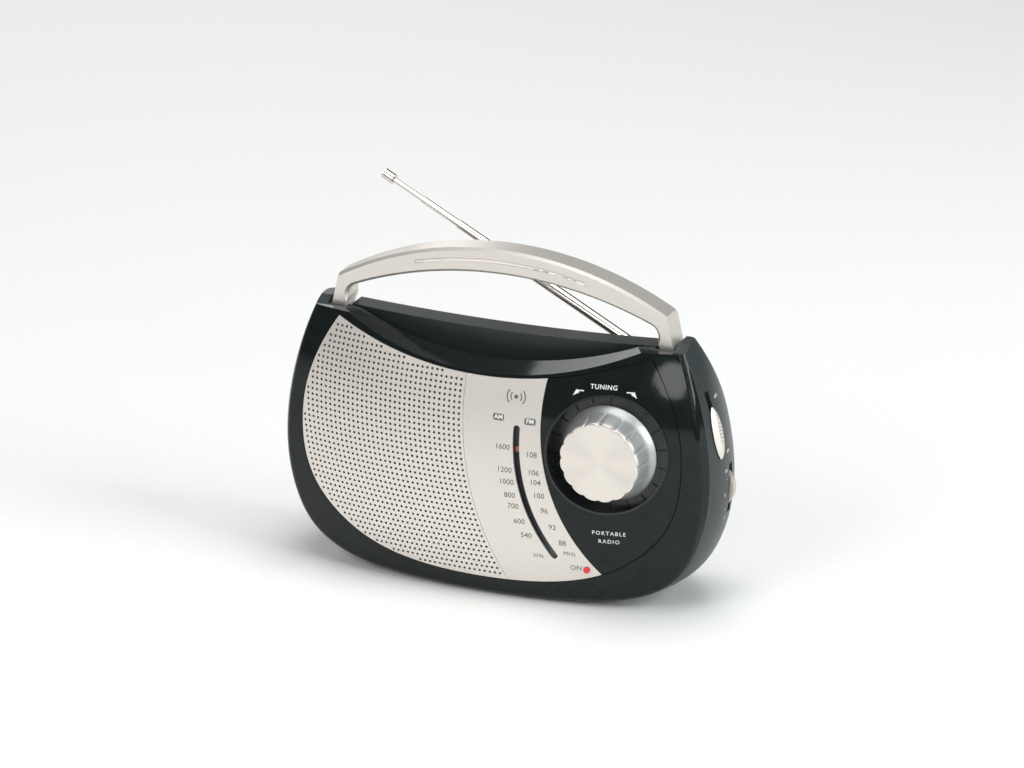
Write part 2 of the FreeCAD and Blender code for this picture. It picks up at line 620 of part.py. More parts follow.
# ---- controls on the right-hand side ------------------------------------------------------
def build_volume():
    x, z = WHEEL
    y0, y1 = WHEEL_Y
    wheel = rod_y(x, z, WHEEL_R, y0, y1)
    teeth = 48
    for i in range(teeth):
        t = 2 * math.pi * i / teeth
        wheel = wheel.cut(rod_y(x + WHEEL_R * math.cos(t), z + WHEEL_R * math.sin(t), 0.38, y0 + 0.8, y1 + 1))
    wheel = wheel.cut(rod_y(x, z, 1.5, y0 - 1, y1 + 1))
    save("volume_wheel", wheel)
    disc = rod_y(x, z, WHEEL_R - 0.1, y0 - 0.35, y0).cut(rod_y(x, z, 1.5, y0 - 1, y1))
    save("volume_wheel_trim", disc)
    save("volume_shaft", rod_y(x, z, 1.5, -3.0, y1))
    pot = rod_y(x, z, 5.0, BOARD_Y[1], -1.3).cut(rod_y(x, z, 1.5 + RUN, -3.2, 0))
    save("volume_control", pot)


def side_skin(inner, outer, y, z, height, width):
    """A patch of the case's side between two distances outside it, with round ends."""
    r = width / 2
    pad = fuse([box(95, 125, y - r, y + r, z - height / 2 + r, z + height / 2 - r),
                rod_x(y, z + height / 2 - r, r, 95, 125), rod_x(y, z - height / 2 + r, r, 95, 125)])
    return pad.common(rounded_sides(-outer)).cut(rounded_sides(-inner))


def build_band_switch():
    y, z = SWITCH
    knob = side_skin(0.4, 2.0, y, z, 25.0, 6.6)
    knob = knob.makeFillet(0.5, outer_rim(knob))
    stem = box(98, 110, y - 1.2, y + 1.2, z - 1.5, z + 1.5).common(rounded_sides(-0.6))
    save("band_switch_knob", fuse([knob, stem]))
    body = box(92.0, 95.4, y - 5.5, y + 5.5, z - 6.3, z + 12)
    save("band_switch", body)


def outer_rim(knob):
    """Edges of the knob's outer face: the longer loop furthest from the middle of the case."""
    face = max(knob.Faces, key=lambda f: f.CenterOfMass.x)
    return face.Edges


def build_sockets():
    z0, z1 = INLET_Z
    y0, y1 = INLET_Y
    mid_y, mid_z = (y0 + y1) / 2, (z0 + z1) / 2
    body = box(INLET_X - 12, INLET_X - 1.45, y0 - 1, y1 + 1, z0 - 1, z1 + 1)
    body = body.fuse(box(INLET_X - 2, INLET_X, mid_y - 2.9, mid_y + 2.9, mid_z - 6.9, mid_z + 6.9))
    pins = [rod_x(mid_y, mid_z + s, 1.15, INLET_X - 2, INLET_X + 7.5) for s in (-4.3, 4.3)]
    save("mains_inlet", fuse([body] + pins))
    jack = fuse([rod_x(JACK[0], JACK[1], 3.2, -109.4, -96.0), box(-100, -92, -6, 2, 54, 66)])
    jack = jack.cut(rod_x(JACK[0], JACK[1], JACK_R, -120, -95.0))
    save("earphone_jack", jack)


# ---- aerial -----------------------------------------------------------------------------
def build_aerial():
    x, y, z = AERIAL.x, AERIAL.y, AERIAL.z
    stem = fuse([rod_z(x, y, 2.0, 92.5, 102.0), rod_z(x, y, 4.6, 101.1, 104.6)])
    ears = []
    for side in (-1, 1):
        start = AERIAL + AERIAL_AXIS * (side * 1.9)
        plate = Part.makeCylinder(3.6, 1.7, start, AERIAL_AXIS * side)
        base = box(-3.6, 3.6, 1.9, 3.6, 104.3 - z, 0)
        if side < 0:
            base = base.mirror(V(0, 0, 0), V(0, 1, 0))
        base.rotate(V(0, 0, 0), V(0, 0, 1), math.degrees(math.atan2(-AERIAL_AXIS.x, AERIAL_AXIS.y)))
        base.translate(AERIAL)
        ears += [plate, base]
    post = fuse([stem] + ears)
    hole = Part.makeCylinder(1.2, 20, AERIAL - AERIAL_AXIS * 10, AERIAL_AXIS)
    save("aerial_post", post.cut(hole))
    save("aerial_pin", Part.makeCylinder(1.2, 7.2, AERIAL - AERIAL_AXIS * 3.6, AERIAL_AXIS))
    eye = Part.makeCylinder(3.3, 3.2, AERIAL - AERIAL_AXIS * 1.6, AERIAL_AXIS)
    neck = rod(AERIAL, AERIAL_DIR, 1.5, 1.0, 6.0)
    save("aerial_knuckle", fuse([eye, neck]).cut(Part.makeCylinder(1.2 + RUN, 20, AERIAL - AERIAL_AXIS * 10,
                                                                   AERIAL_AXIS)))
    names = ["aerial_tube_base", "aerial_tube_second", "aerial_tube_third", "aerial_rod_tip"]
    for i, (radius, start, end) in enumerate(AERIAL_TUBES):
        tube = rod(AERIAL, AERIAL_DIR, radius, start, end)
        if i == 0:
            tube = tube.cut(rod(AERIAL, AERIAL_DIR, 1.5, start - 1, 6.0))
        if i < len(AERIAL_TUBES) - 1:
            bore = AERIAL_TUBES[i + 1][0] + RUN
            tube = tube.cut(rod(AERIAL, AERIAL_DIR, bore, max(start + 2.5, 8.0), end + 1))
        save(names[i], tube)
    save("aerial_tip_cap", rod(AERIAL, AERIAL_DIR, 2.5, 160.0, 166.0).cut(rod(AERIAL, AERIAL_DIR, 1.3, 150, 162.0)))


# ---- inside -----------------------------------------------------------------------------
def build_speaker():
    x, z = SPEAKER
    y = SPEAKER_Y

    def turn(profile):
        points = [V(x + r, y + d, z) for r, d in profile]
        return Part.Face(Part.makePolygon(points + [points[0]])).revolve(V(x, y, z), V(0, 1, 0), 360)
    basket = turn([(SPEAKER_R, 0), (SPEAKER_R, 1.0), (SPEAKER_R - 4, 1.0), (16.5, 9.5), (12, 9.5),
                   (12, 8.6), (16, 8.6), (SPEAKER_R - 5, 0)])
    for i in range(6):
        window = rod_y(x, z, 4.0, y + 2, y + 12).translated(V(21.5, 0, 0))
        window.rotate(V(x, 0, z), V(0, 1, 0), 60 * i)
        basket = basket.cut(window)
    save("speaker_frame", basket)
    save("speaker_cone", turn([(27.5, -0.9), (27.5, -0.1), (9, 7.2), (9, 6.4), (24.5, -0.4), (26, -1.1)]))
    save("speaker_dust_cap", Part.makeSphere(11.0, V(x, y + 12.4, z)).common(rod_y(x, z, 8.6, y, y + 6.3)))
    save("speaker_magnet", fuse([rod_y(x, z, 17, y + 9.6, y + 11.2), rod_y(x, z, 15.5, y + 11.2, y + 16.0),
                                 rod_y(x, z, 17, y + 16.0, y + 17.4)]))
    cloth = rod_y(x, z, 30.4, -60, -10).common(front_zone(-FRONT_WALL)).cut(front_zone(-FRONT_WALL - 0.5))
    save("speaker_cloth", cloth)


def build_batteries():
    cells, springs, plates = [], [], []
    for cz in CELL_Z:
        for x0 in (-CELL_LEN, 0.15):
            can = rod_x(CELL_Y, cz, CELL_R, x0 + 0.4, x0 + CELL_LEN - 1.6)
            nub = rod_x(CELL_Y, cz, 3.6, x0 + CELL_LEN - 1.7, x0 + CELL_LEN - 0.1)
            cells.append(fuse([can, nub]))
        spring = Part.makeCone(5.5, 3.0, 2.0, V(-CELL_LEN - 1.65, CELL_Y, cz), V(1, 0, 0))
        springs.append(spring)
        for x0 in (-CELL_LEN - 2.0, CELL_LEN + 0.2):
            plates.append(box(x0, x0 + 0.35, CELL_Y - 7, CELL_Y + 7, cz - 7, cz + 7))
    save("battery_cells", Part.makeCompound(cells))
    save("battery_springs", Part.makeCompound(springs))
    save("battery_contacts", Part.makeCompound(plates))
    x0, x1 = -CELL_LEN - 4.0, CELL_LEN + 2.6
    z0, z1 = CELL_Z[0] - CELL_R - 0.4, CELL_Z[1] + CELL_R + 0.4
    y0 = CELL_Y - CELL_R - 0.4
    outer = box(x0, x1, y0 - 1.4, 22.5, z0 - 1.4, z1 + 1.4)
    inner = box(x0 + 1.95, x1 - 2.0, y0, 40, z0, z1)
    save("battery_tray", outer.common(rear_zone(3.2)).cut(inner))


def build_door():
    """Battery door: it swings down and back on a barrel along its lower edge."""
    x0, x1, z0, z1 = DOOR
    gap = 0.35
    barrel_z = z0 + gap + 1.0
    door = box(x0 + gap, x1 - gap, 15, 60, barrel_z, z1 - gap)
    door = door.common(rear_zone(0)).cut(rear_zone(2.0))
    barrel = rod_x(rear_y(barrel_z) - 1.0, barrel_z, 1.0, x0 + gap, x1 - gap)
    door = fuse([door, barrel])
    for i in range(6):
        z = 44.0 + 1.6 * i
        door = door.cut(rod_x(rear_y(z) + 0.25, z, 0.5, -14, 14))
    save("battery_door", door)
    latch = box(-9, 9, 15, 60, 55.0, z1 - 1.0).common(rear_zone(-1.0)).cut(rear_zone(0))
    save("battery_door_latch", latch)


def build_board():
    x0, x1, z0, z1 = BOARD
    y0, y1 = BOARD_Y
    board = box(x0, x1, y0, y1, z0, z1).common(rounded_sides(WALL + 0.6))
    board = board.cut(box(91.5, x1 + 1, y0 - 1, y1 + 1, 80.5, z1 + 1))
    for x, z in CASE_SCREWS:
        board = board.cut(rod_y(x, z, 4.2, y0 - 1, y1 + 1))
    for x, z in BOARD_SCREWS:
        board = board.cut(rod_y(x, z, 1.3, y0 - 1, y1 + 1))
    save("circuit_board", board)
    x, z = KNOB
    gang = box(x - 10, x + 10, -19.0, y0, z - 10, z + 10)
    gang = gang.cut(rod_y(x, z, 3.0 + RUN, -20, -11.5))
    save("tuning_capacitor", gang)
    cans = [box(cx, cx + 7, y0 - 11, y0, cz, cz + 7) for cx, cz in IF_CANS]
    cans = [can.cut(rod_y(cx + 3.5, cz + 3.5, 1.4, y0 - 12, y0 - 9.5)) for can, (cx, cz) in zip(cans, IF_CANS)]
    save("if_coil_cans", Part.makeCompound(cans))
    drums = [rod_y(cx, cz, r, y0 - h, y0) for cx, cz, r, h in ELECTROLYTICS]
    save("electrolytic_capacitors", Part.makeCompound(drums))
    chips = [box(cx, cx + w, y0 - 3.4, y0 - 0.4, cz, cz + 6.4) for cx, cz, w in CHIPS]
    legs = []
    for cx, cz, w in CHIPS:
        for i in range(int(w / 2.54)):
            px = cx + 1.0 + 2.54 * i
            legs += [box(px, px + 0.6, y0 - 2.0, y0, cz - 0.9, cz), box(px, px + 0.6, y0 - 2.0, y0, cz + 6.4, cz + 7.3)]
    save("radio_chips", Part.makeCompound(chips))
    save("chip_pins", Part.makeCompound(legs))
    resistors = [rod_x(y0 - 1.3, z0 + 5 + 3.4 * i, 1.1, 12.0, 18.0) for i in range(5)]
    resistors += [rod_x(y0 - 1.3, z0 + 5 + 3.4 * i, 1.1, 21.0, 27.0) for i in range(5)]
    save("resistors", Part.makeCompound(resistors))
    screws = [fuse([rod_y(sx, sz, 1.3, y0 - 6, y1), rod_y(sx, sz, 2.5, y1, y1 + 1.6)]) for sx, sz in BOARD_SCREWS]
    save("board_screws", Part.makeCompound(screws))


def build_ferrite():
    y, z = FERRITE
    save("ferrite_rod", rod_x(y, z, 4.0, -66.0, 24.0))
    coil = rod_x(y, z, 5.2, -6.0, 12.0).cut(rod_x(y, z, 4.0, -7, 13))
    small = rod_x(y, z, 5.2, -60.0, -50.0).cut(rod_x(y, z, 4.0, -61, -49))
    save("ferrite_coils", Part.makeCompound([coil, small]))
    clips = []
    for x in (-48.0, 14.0):
        block = box(x, x + 4, y - 5.4, rear_y(z) - WALL - 0.2, z - 5.4, z + 5.4)
        clips.append(block.common(rear_zone(WALL + 0.1)).cut(rod_x(y, z, 4.0, x - 1, x + 5)))
    save("ferrite_clips", Part.makeCompound(clips))


def build_transformer():
    core = box(-86.0, -60.0, 1.0, 17.0, 17.0, 41.0)
    window = [box(-80.0, -77.2, 0, 18, 21.0, 37.0), box(-68.8, -66.0, 0, 18, 21.0, 37.0)]
    save("transformer_core", cut(core, window))
    coil = box(-80.0, -66.0, -3.5, 21.0, 21.0, 37.0)
    coil = coil.cut(box(-77.2, -68.8, 1.0, 17.0, 20, 38))
    save("transformer_coil", coil)


def build_all():
    os.makedirs("parts", exist_ok=True)
    build_shells()
    build_trim()
    build_ring()
    build_knob()
    build_pointer()
    build_led()
    build_feet()
    build_screws()
    build_handle()
    build_volume()
    build_band_switch()
    build_sockets()
    build_aerial()
    build_speaker()
    build_batteries()
    build_door()
    build_board()
    build_ferrite()
    build_transformer()


if __name__ == "__main__":
    build_all()
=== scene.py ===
# %% [markdown]
# # A portable radio, dressed around its frame
#
# The frame is the finished engineering model: every shell, shaft and screw is already in it at its real size.
# This script gives each piece its surface, adds the parts that are easier to make as meshes than as solids,
# and sets up a small studio. Nothing in the frame is moved. Every place used below is read from the frame,
# or worked out from a few sizes named beside the piece that needs them.

# %% Load the frame
import json
import math

import bpy
from mathutils import Matrix, Vector


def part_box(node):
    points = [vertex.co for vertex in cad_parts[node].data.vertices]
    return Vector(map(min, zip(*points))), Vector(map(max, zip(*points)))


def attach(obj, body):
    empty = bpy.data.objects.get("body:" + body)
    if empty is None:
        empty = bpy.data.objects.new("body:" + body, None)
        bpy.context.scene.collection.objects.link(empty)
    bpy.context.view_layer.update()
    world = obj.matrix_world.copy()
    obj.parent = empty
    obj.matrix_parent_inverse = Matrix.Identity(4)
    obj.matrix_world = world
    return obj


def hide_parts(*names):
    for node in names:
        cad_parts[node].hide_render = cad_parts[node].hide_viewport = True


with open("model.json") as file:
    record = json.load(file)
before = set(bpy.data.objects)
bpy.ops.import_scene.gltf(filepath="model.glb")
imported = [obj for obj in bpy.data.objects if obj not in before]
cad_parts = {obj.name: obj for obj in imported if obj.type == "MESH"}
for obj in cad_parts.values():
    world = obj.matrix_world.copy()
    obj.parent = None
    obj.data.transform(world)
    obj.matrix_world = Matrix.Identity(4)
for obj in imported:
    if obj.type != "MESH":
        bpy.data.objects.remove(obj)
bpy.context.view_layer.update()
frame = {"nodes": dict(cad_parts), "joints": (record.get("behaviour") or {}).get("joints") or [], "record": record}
NODES = frame["nodes"]
JOINTS = {joint["name"]: joint for joint in frame["joints"]}
MM = 0.001
print("nodes:", len(NODES), " joints:", len(JOINTS))

# %% [markdown]
# ## The studio
#
# The radio stands on a pale table in soft light. A long lens from about two metres keeps its sides nearly
# parallel, as a product picture does. The camera looks a little down and from the right, so the side
# controls show. The shift slides the picture without tilting the camera.

# %% Camera
AIM = Vector((0, 0, 70)) * MM
CAMERA_TURN = math.radians(22.38)        # round to the right
CAMERA_RISE = math.radians(21.27)        # above the table
CAMERA_DISTANCE = 2.0

towards = Vector((math.sin(CAMERA_TURN) * math.cos(CAMERA_RISE),
                  -math.cos(CAMERA_TURN) * math.cos(CAMERA_RISE),
                  math.sin(CAMERA_RISE)))
bpy.ops.object.select_all(action="DESELECT")
bpy.ops.object.camera_add(location=AIM + towards * CAMERA_DISTANCE,
                          rotation=(math.pi / 2 - CAMERA_RISE, 0, CAMERA_TURN))
camera = bpy.context.object
camera.data.lens = 149.8
camera.data.sensor_width = 36.0
camera.data.shift_x = 0.0036
camera.data.shift_y = 0.0472
camera.data.clip_start = 0.05
bpy.context.scene.camera = camera
print("camera at", [round(c, 3) for c in camera.location])

# %% [markdown]
# Gloss black plastic shows the lights more than it shows itself, so the lights are the picture: one broad
# key from the front left, a tall panel and three narrow strips on the right for the long streaks down the
# side, a small round one low in front for the smear on the dark panel, a weak one from behind, and a wide
# top light that also keeps the table pale. Each is aimed with a rotation worked out from its place.


# %% Lights
def soft_light(name, place, size, watts, tall=None, colour=(1, 1, 1)):
    """A rectangular area light at a place in metres, aimed at the middle of the radio."""
    aim = (AIM - Vector(place)).to_track_quat("-Z", "Y").to_euler()
    bpy.ops.object.light_add(type="AREA", location=place, rotation=aim)
    light = bpy.context.object
    light.name = name
    light.data.shape = "RECTANGLE"
    light.data.size = size
    light.data.size_y = tall or size
    light.data.energy = watts
    light.data.color = colour
    return light


soft_light("key_light", (-0.9, -1.9, 1.5), 1.3, 23)
soft_light("side_strip", (1.7, -0.2, 0.9), 0.8, 22, tall=1.3, colour=(0.93, 1.0, 0.98))
for number, place in enumerate(((0.75, -1.7, 0.5), (1.15, -1.35, 0.55), (1.5, -0.95, 0.5))):
    soft_light("streak_%d" % number, place, 0.05, 0.9, tall=0.7, colour=(0.93, 1.0, 0.98))
soft_light("top_light", (0.1, 0.1, 2.1), 1.5, 25)
soft_light("back_light", (-1.2, 1.5, 1.0), 0.9, 6)
window = soft_light("window_light", (0.46, -2.0, 0.46), 0.24, 1.1, tall=0.34)
window.data.shape = "ELLIPSE"
world = bpy.data.worlds.new("studio_air")
bpy.context.scene.world = world
world.use_nodes = True
world.node_tree.nodes["Background"].inputs["Color"].default_value = (0.95, 0.97, 0.97, 1)
world.node_tree.nodes["Background"].inputs["Strength"].default_value = 0.16
bpy.context.scene.view_settings.view_transform = "Standard"

# %% [markdown]
# ## Finishes
#
# Every finish is a Principled shader with a little life in it: a moulded surface is never one flat colour.
# Fine noise on Object coordinates shifts the colour and the roughness slightly, and a bump gives the tiny
# relief that catches light. Values that don't vary are set on the shader itself, so an export keeps them.
# The scale of a noise is per metre, so 3000 is a grain of a third of a millimetre.


# %% One helper for all the finishes
FINISHES = {}


def finish(name, colour, rough, metal=0.0, grain=1500.0, tint=0.06, rough_play=0.05, relief=0.02,
           relief_mm=0.05, patch=18.0, **extra):
    """A material with colour and roughness that vary a little, and a fine bump."""
    material = bpy.data.materials.new(name)
    material.use_nodes = True
    tree = material.node_tree
    shader = tree.nodes["Principled BSDF"]
    shader.inputs["Metallic"].default_value = metal
    for socket, value in extra.items():
        shader.inputs[socket.replace("_", " ")].default_value = value
    place = tree.nodes.new("ShaderNodeTexCoord")
    fine = tree.nodes.new("ShaderNodeTexNoise")
    fine.inputs["Scale"].default_value = grain
    fine.inputs["Detail"].default_value = 2.0
    broad = tree.nodes.new("ShaderNodeTexNoise")
    broad.inputs["Scale"].default_value = patch
    broad.inputs["Detail"].default_value = 4.0
    tree.links.new(place.outputs["Object"], fine.inputs["Vector"])
    tree.links.new(place.outputs["Object"], broad.inputs["Vector"])
    ramp = tree.nodes.new("ShaderNodeValToRGB")
    low, high = 1 - tint, 1 + tint
    ramp.color_ramp.elements[0].position = 0.3
    ramp.color_ramp.elements[1].position = 0.7
    ramp.color_ramp.elements[0].color = [min(c * low, 1) for c in colour] + [1]
    ramp.color_ramp.elements[1].color = [min(c * high, 1) for c in colour] + [1]
    tree.links.new(fine.outputs["Fac"], ramp.inputs["Fac"])
    tree.links.new(ramp.outputs["Color"], shader.inputs["Base Color"])
    spread = tree.nodes.new("ShaderNodeMapRange")
    spread.inputs["To Min"].default_value = max(rough - rough_play, 0.01)
    spread.inputs["To Max"].default_value = rough + rough_play
    tree.links.new(broad.outputs["Fac"], spread.inputs["Value"])
    tree.links.new(spread.outputs["Result"], shader.inputs["Roughness"])
    bump = tree.nodes.new("ShaderNodeBump")
    bump.inputs["Strength"].default_value = relief
    bump.inputs["Distance"].default_value = relief_mm * MM
    tree.links.new(fine.outputs["Fac"], bump.inputs["Height"])
    tree.links.new(bump.outputs["Normal"], shader.inputs["Normal"])
    FINISHES[name] = material
    return material


# %% [markdown]
# The case is black high-gloss plastic with the slight orange peel of a mould polished by hand, and its
# back half is satin. The handle, the grille and the dial share a champagne metallic paint: tiny bright
# flakes in a warm grey, under a satin clear coat.

# %% Case, paint and plastics
finish("gloss_case", (0.007, 0.010, 0.010), 0.07, grain=170, tint=0.2, rough_play=0.03, relief=0.11,
       relief_mm=0.16, Specular_IOR_Level=0.28)
finish("satin_case", (0.026, 0.033, 0.034), 0.34, grain=2600, tint=0.15, relief=0.12, relief_mm=0.03)
finish("silver_paint", (0.76, 0.715, 0.665), 0.40, metal=0.75, grain=4200, tint=0.08, relief=0.10,
       relief_mm=0.02, Coat_Weight=0.15, Coat_Roughness=0.25)
finish("silver_knob", (0.42, 0.43, 0.43), 0.40, metal=0.6, grain=3600, tint=0.06, relief=0.04,
       relief_mm=0.02)
finish("black_plastic", (0.012, 0.015, 0.015), 0.28, grain=1800, tint=0.2, relief=0.10)
finish("dark_plastic", (0.030, 0.031, 0.034), 0.45, grain=1800, tint=0.15, relief=0.15)
finish("white_plastic", (0.80, 0.78, 0.72), 0.45, grain=900, tint=0.03, relief=0.05)
finish("red_plastic", (0.74, 0.20, 0.17), 0.40, grain=900, tint=0.04, relief=0.05)
finish("red_lens", (0.80, 0.02, 0.03), 0.08, grain=900, tint=0.05, relief=0.02, Coat_Weight=0.5)
finish("rubber", (0.022, 0.022, 0.022), 0.75, grain=2200, tint=0.2, relief=0.3, relief_mm=0.08)

# %% Metals
finish("steel", (0.56, 0.56, 0.55), 0.28, metal=1.0, grain=2400, tint=0.06, relief=0.05)
finish("core_steel", (0.22, 0.22, 0.23), 0.5, metal=0.8, grain=1800, tint=0.2, relief=0.2)
finish("chrome", (0.66, 0.62, 0.57), 0.17, metal=1.0, grain=700, tint=0.02, rough_play=0.03, relief=0.01)
finish("copper", (0.50, 0.17, 0.05), 0.32, metal=0.9, grain=3000, tint=0.15, relief=0.2)

# %% What is inside
finish("paper", (0.035, 0.035, 0.038), 0.85, grain=900, tint=0.25, relief=0.4, relief_mm=0.1)
finish("felt", (0.006, 0.006, 0.006), 0.95, grain=1500, tint=0.3, relief=0.5, relief_mm=0.1)
finish("ferrite", (0.028, 0.028, 0.031), 0.6, grain=1200, tint=0.25, relief=0.3)
finish("cell_jacket", (0.05, 0.12, 0.36), 0.22, metal=0.5, grain=300, tint=0.04, relief=0.02)
finish("board", (0.40, 0.22, 0.06), 0.5, grain=1400, tint=0.15, relief=0.1)
finish("capacitor_sleeve", (0.02, 0.03, 0.12), 0.25, grain=800, tint=0.1)
finish("resistor_body", (0.60, 0.42, 0.22), 0.45, grain=1200, tint=0.08)
print("finishes:", len(FINISHES))

# %% [markdown]
# The face of the tuning knob is turned metal. A lathe leaves fine circles, and those circles are why such
# a face throws a fan of light from its centre. Rings of a Wave texture, centred on the knob's axis, bump
# the surface in the same way.

# %% The turned face
knob_axis = Vector(JOINTS["tuning_knob_turn"]["pos_m"])


FULL_TURN = 6.2832                       # radians


def turned_metal(name, colour, rough, axis_at, coarse):
    """Metal with fine lathe circles round an axis along Y; a larger coarse sets them further apart."""
    material = finish(name, colour, rough, metal=1.0, grain=3000, tint=0.03, relief=0.02)
    tree = material.node_tree
    shader = tree.nodes["Principled BSDF"]
    place = tree.nodes["Texture Coordinate"]
    shift = tree.nodes.new("ShaderNodeMapping")
    shift.inputs["Location"].default_value = -Vector(axis_at)
    rings = tree.nodes.new("ShaderNodeTexWave")
    rings.wave_type = "RINGS"
    rings.rings_direction = "Y"
    rings.inputs["Scale"].default_value = 1 / (coarse * MM) / FULL_TURN
    rings.inputs["Distortion"].default_value = 0.6
    bump = tree.nodes.new("ShaderNodeBump")
    bump.inputs["Strength"].default_value = 0.25
    bump.inputs["Distance"].default_value = 0.02 * MM
    tree.links.new(place.outputs["Object"], shift.inputs["Vector"])
    tree.links.new(shift.outputs["Vector"], rings.inputs["Vector"])
    tree.links.new(rings.outputs["Fac"], bump.inputs["Height"])
    tree.links.new(bump.outputs["Normal"], shader.inputs["Normal"])
    shader.inputs["Anisotropic"].default_value = 0.75
    tangent = tree.nodes.new("ShaderNodeTangent")
    tangent.direction_type = "RADIAL"
    tangent.axis = "Y"
    tree.links.new(tangent.outputs["Tangent"], shader.inputs["Tangent"])
    return material


turned_metal("spun_cap", (0.80, 0.745, 0.69), 0.34, knob_axis, 0.35)

# %% [markdown]
# Each node of the frame names its finish in the record, so one loop dresses them all. The meshes come as
# loose triangles with normals of their own and are left alone: only the material changes.

# %% Dress the frame
SLOT_OF = {part["node"]: part["material_slot"] for part in frame["record"]["subparts"]}
for name, node in NODES.items():
    node.data.materials.clear()
    node.data.materials.append(FINISHES[SLOT_OF[name]])


# %% [markdown]
# ## A few small helpers for modelling
#
# An operator acts on whatever is selected, so each piece starts with nothing else selected. A finished
# piece has its place in its mesh, with the object itself at the origin, like a node of the frame. Prints
# and trims that follow a curved face are made flat and then pressed on: each point keeps its height and
# width, and a ray finds how deep the face lies there.


# %% Start, press and settle
def start_clean():
    """Deselect everything, in object mode."""
    if bpy.context.mode != "OBJECT":
        bpy.ops.object.mode_set(mode="OBJECT")
    bpy.ops.object.select_all(action="DESELECT")


def pick(*pieces):
    """Select only these pieces; the first is active."""
    start_clean()
    for piece in pieces:
        piece.select_set(True)
    bpy.context.view_layer.objects.active = pieces[0]


def settle(piece, name, body, slot, angle=30):
    """Apply the place, smooth the shading, name the piece, and fix it to its body."""
    pick(piece)
    bpy.ops.object.transform_apply(location=True, rotation=True, scale=True)
    bpy.ops.object.shade_smooth_by_angle(angle=math.radians(angle))
    piece.name = name
    piece.data.materials.clear()
    piece.data.materials.append(FINISHES[slot])
    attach(piece, body)
    print(name, "faces:", len(piece.data.polygons))
    return piece


def thicken(piece, thickness, offset=0):
    """Give a sheet its thickness; offset -1 keeps it all behind the faces, 0 shares it."""
    pick(piece)
    sheet = piece.modifiers.new("sheet", "SOLIDIFY")
    sheet.thickness = thickness
    sheet.offset = offset
    bpy.ops.object.modifier_apply(modifier="sheet")


def close_seams(piece, threshold):
    """Merge the points that meet in a wrapped grid, and turn its faces outwards."""
    pick(piece)
    bpy.ops.object.mode_set(mode="EDIT")
    bpy.ops.mesh.select_all(action="SELECT")
    bpy.ops.mesh.remove_doubles(threshold=threshold)
    bpy.ops.mesh.normals_make_consistent(inside=False)
    bpy.ops.object.mode_set(mode="OBJECT")


def press_on(piece, node, towards_face, proud):
    """Move each point of a flat piece onto a node's face; its own thickness stays."""
    aim = Vector(towards_face)
    along = [i for i in range(3) if abs(aim[i]) > 0.5][0]
    for vertex in piece.data.vertices:
        start = vertex.co.copy()
        own = start[along]
        start[along] = -0.5 * aim[along]
        hit, place, _, _ = node.ray_cast(start, aim)
        assert hit, "nothing to press on at %s" % start
        vertex.co[along] = place[along] + own - aim[along] * proud


# %% [markdown]
# ## The speaker grille
#
# The real grille is a thin curved plate with more than a thousand punched holes, in curved columns that
# follow its right-hand edge. The frame carries it as a plain plate, which is right for weight and touch.
# Here a punch with all its pins is made first, one eight-sided pin per hole, and a Boolean takes it out of
# a copy of the plate. Rays at six points round each pin tell whether the hole stays inside the edge. Over a
# thousand pins are too many to join by operators, so one pin's points are copied to every place.

# %% Lay out the pins
HOLE_R = 0.66 * MM
COLUMNS = 45                                      # more than the widest row holds
HALVINGS = 14                                     # each one halves the error of the edge's place
COLUMN_STEP, ROW_STEP = 2.57 * MM, 2.67 * MM
FIRST_COLUMN, FIRST_ROW = 2.0 * MM, 1.6 * MM      # from the right-hand edge, and from the top
EDGE_MARGIN = 1.25 * MM
plate = NODES["speaker_grille"]
low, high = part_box("speaker_grille")


def on_plate(x, z, margin):
    """Whether a hole here keeps clear of the plate's edge."""
    for i in range(6):
        a = i * math.pi / 3
        start = Vector((x + margin * math.cos(a), -0.1, z + margin * math.sin(a)))
        if not plate.ray_cast(start, Vector((0, 1, 0)))[0]:
            return False
    return True


def right_edge(z):
    """The plate's right-hand edge at a height, found by halving."""
    inside, outside = (low.x + high.x) / 2, high.x + MM
    for _ in range(HALVINGS):
        x = (inside + outside) / 2
        if on_plate(x, z, 0):
            inside = x
        else:
            outside = x
    return inside


heights = [low.z + share * (high.z - low.z) for share in (0.15, 0.5, 0.85)]
edge = [right_edge(z) for z in heights]
rise = (edge[0] + edge[2] - 2 * edge[1]) / (heights[1] - heights[0]) ** 2
tilt = (edge[2] - edge[0]) / (heights[2] - heights[0])


def edge_at(z):
    """The edge's place at any height, from the curve through the three points."""
    up = z - heights[1]
    return edge[1] + tilt * up + rise / 2 * up * up


holes = []
row = 0
while high.z - FIRST_ROW - row * ROW_STEP > low.z:
    z = high.z - FIRST_ROW - row * ROW_STEP
    for column in range(COLUMNS):
        x = edge_at(z) - FIRST_COLUMN - column * COLUMN_STEP
        if on_plate(x, z, EDGE_MARGIN):
            holes.append((x, z))
    row += 1
print("holes in the grille:", len(holes))

# %% Make the punch
start_clean()
punch_depth = low.y + 12 * MM
bpy.ops.mesh.primitive_cylinder_add(vertices=8, radius=HOLE_R, depth=30 * MM,
                                    location=(holes[0][0], punch_depth, holes[0][1]),
                                    rotation=(math.pi / 2, 0, 0))
punch = bpy.context.object
pin = punch.data.copy()
pin_points = [vertex.co.copy() for vertex in pin.vertices]
pin_faces = [tuple(face.vertices) for face in pin.polygons]
turn = punch.rotation_euler.to_matrix()
points, faces = [], []
for x, z in holes:
    first = len(points)
    points += [turn @ co + Vector((x, punch_depth, z)) for co in pin_points]
    faces += [[first + i for i in face] for face in pin_faces]
punch.matrix_world = Matrix.Identity(4)
punch.data.clear_geometry()
punch.data.from_pydata(points, [], faces)
punch.data.update()

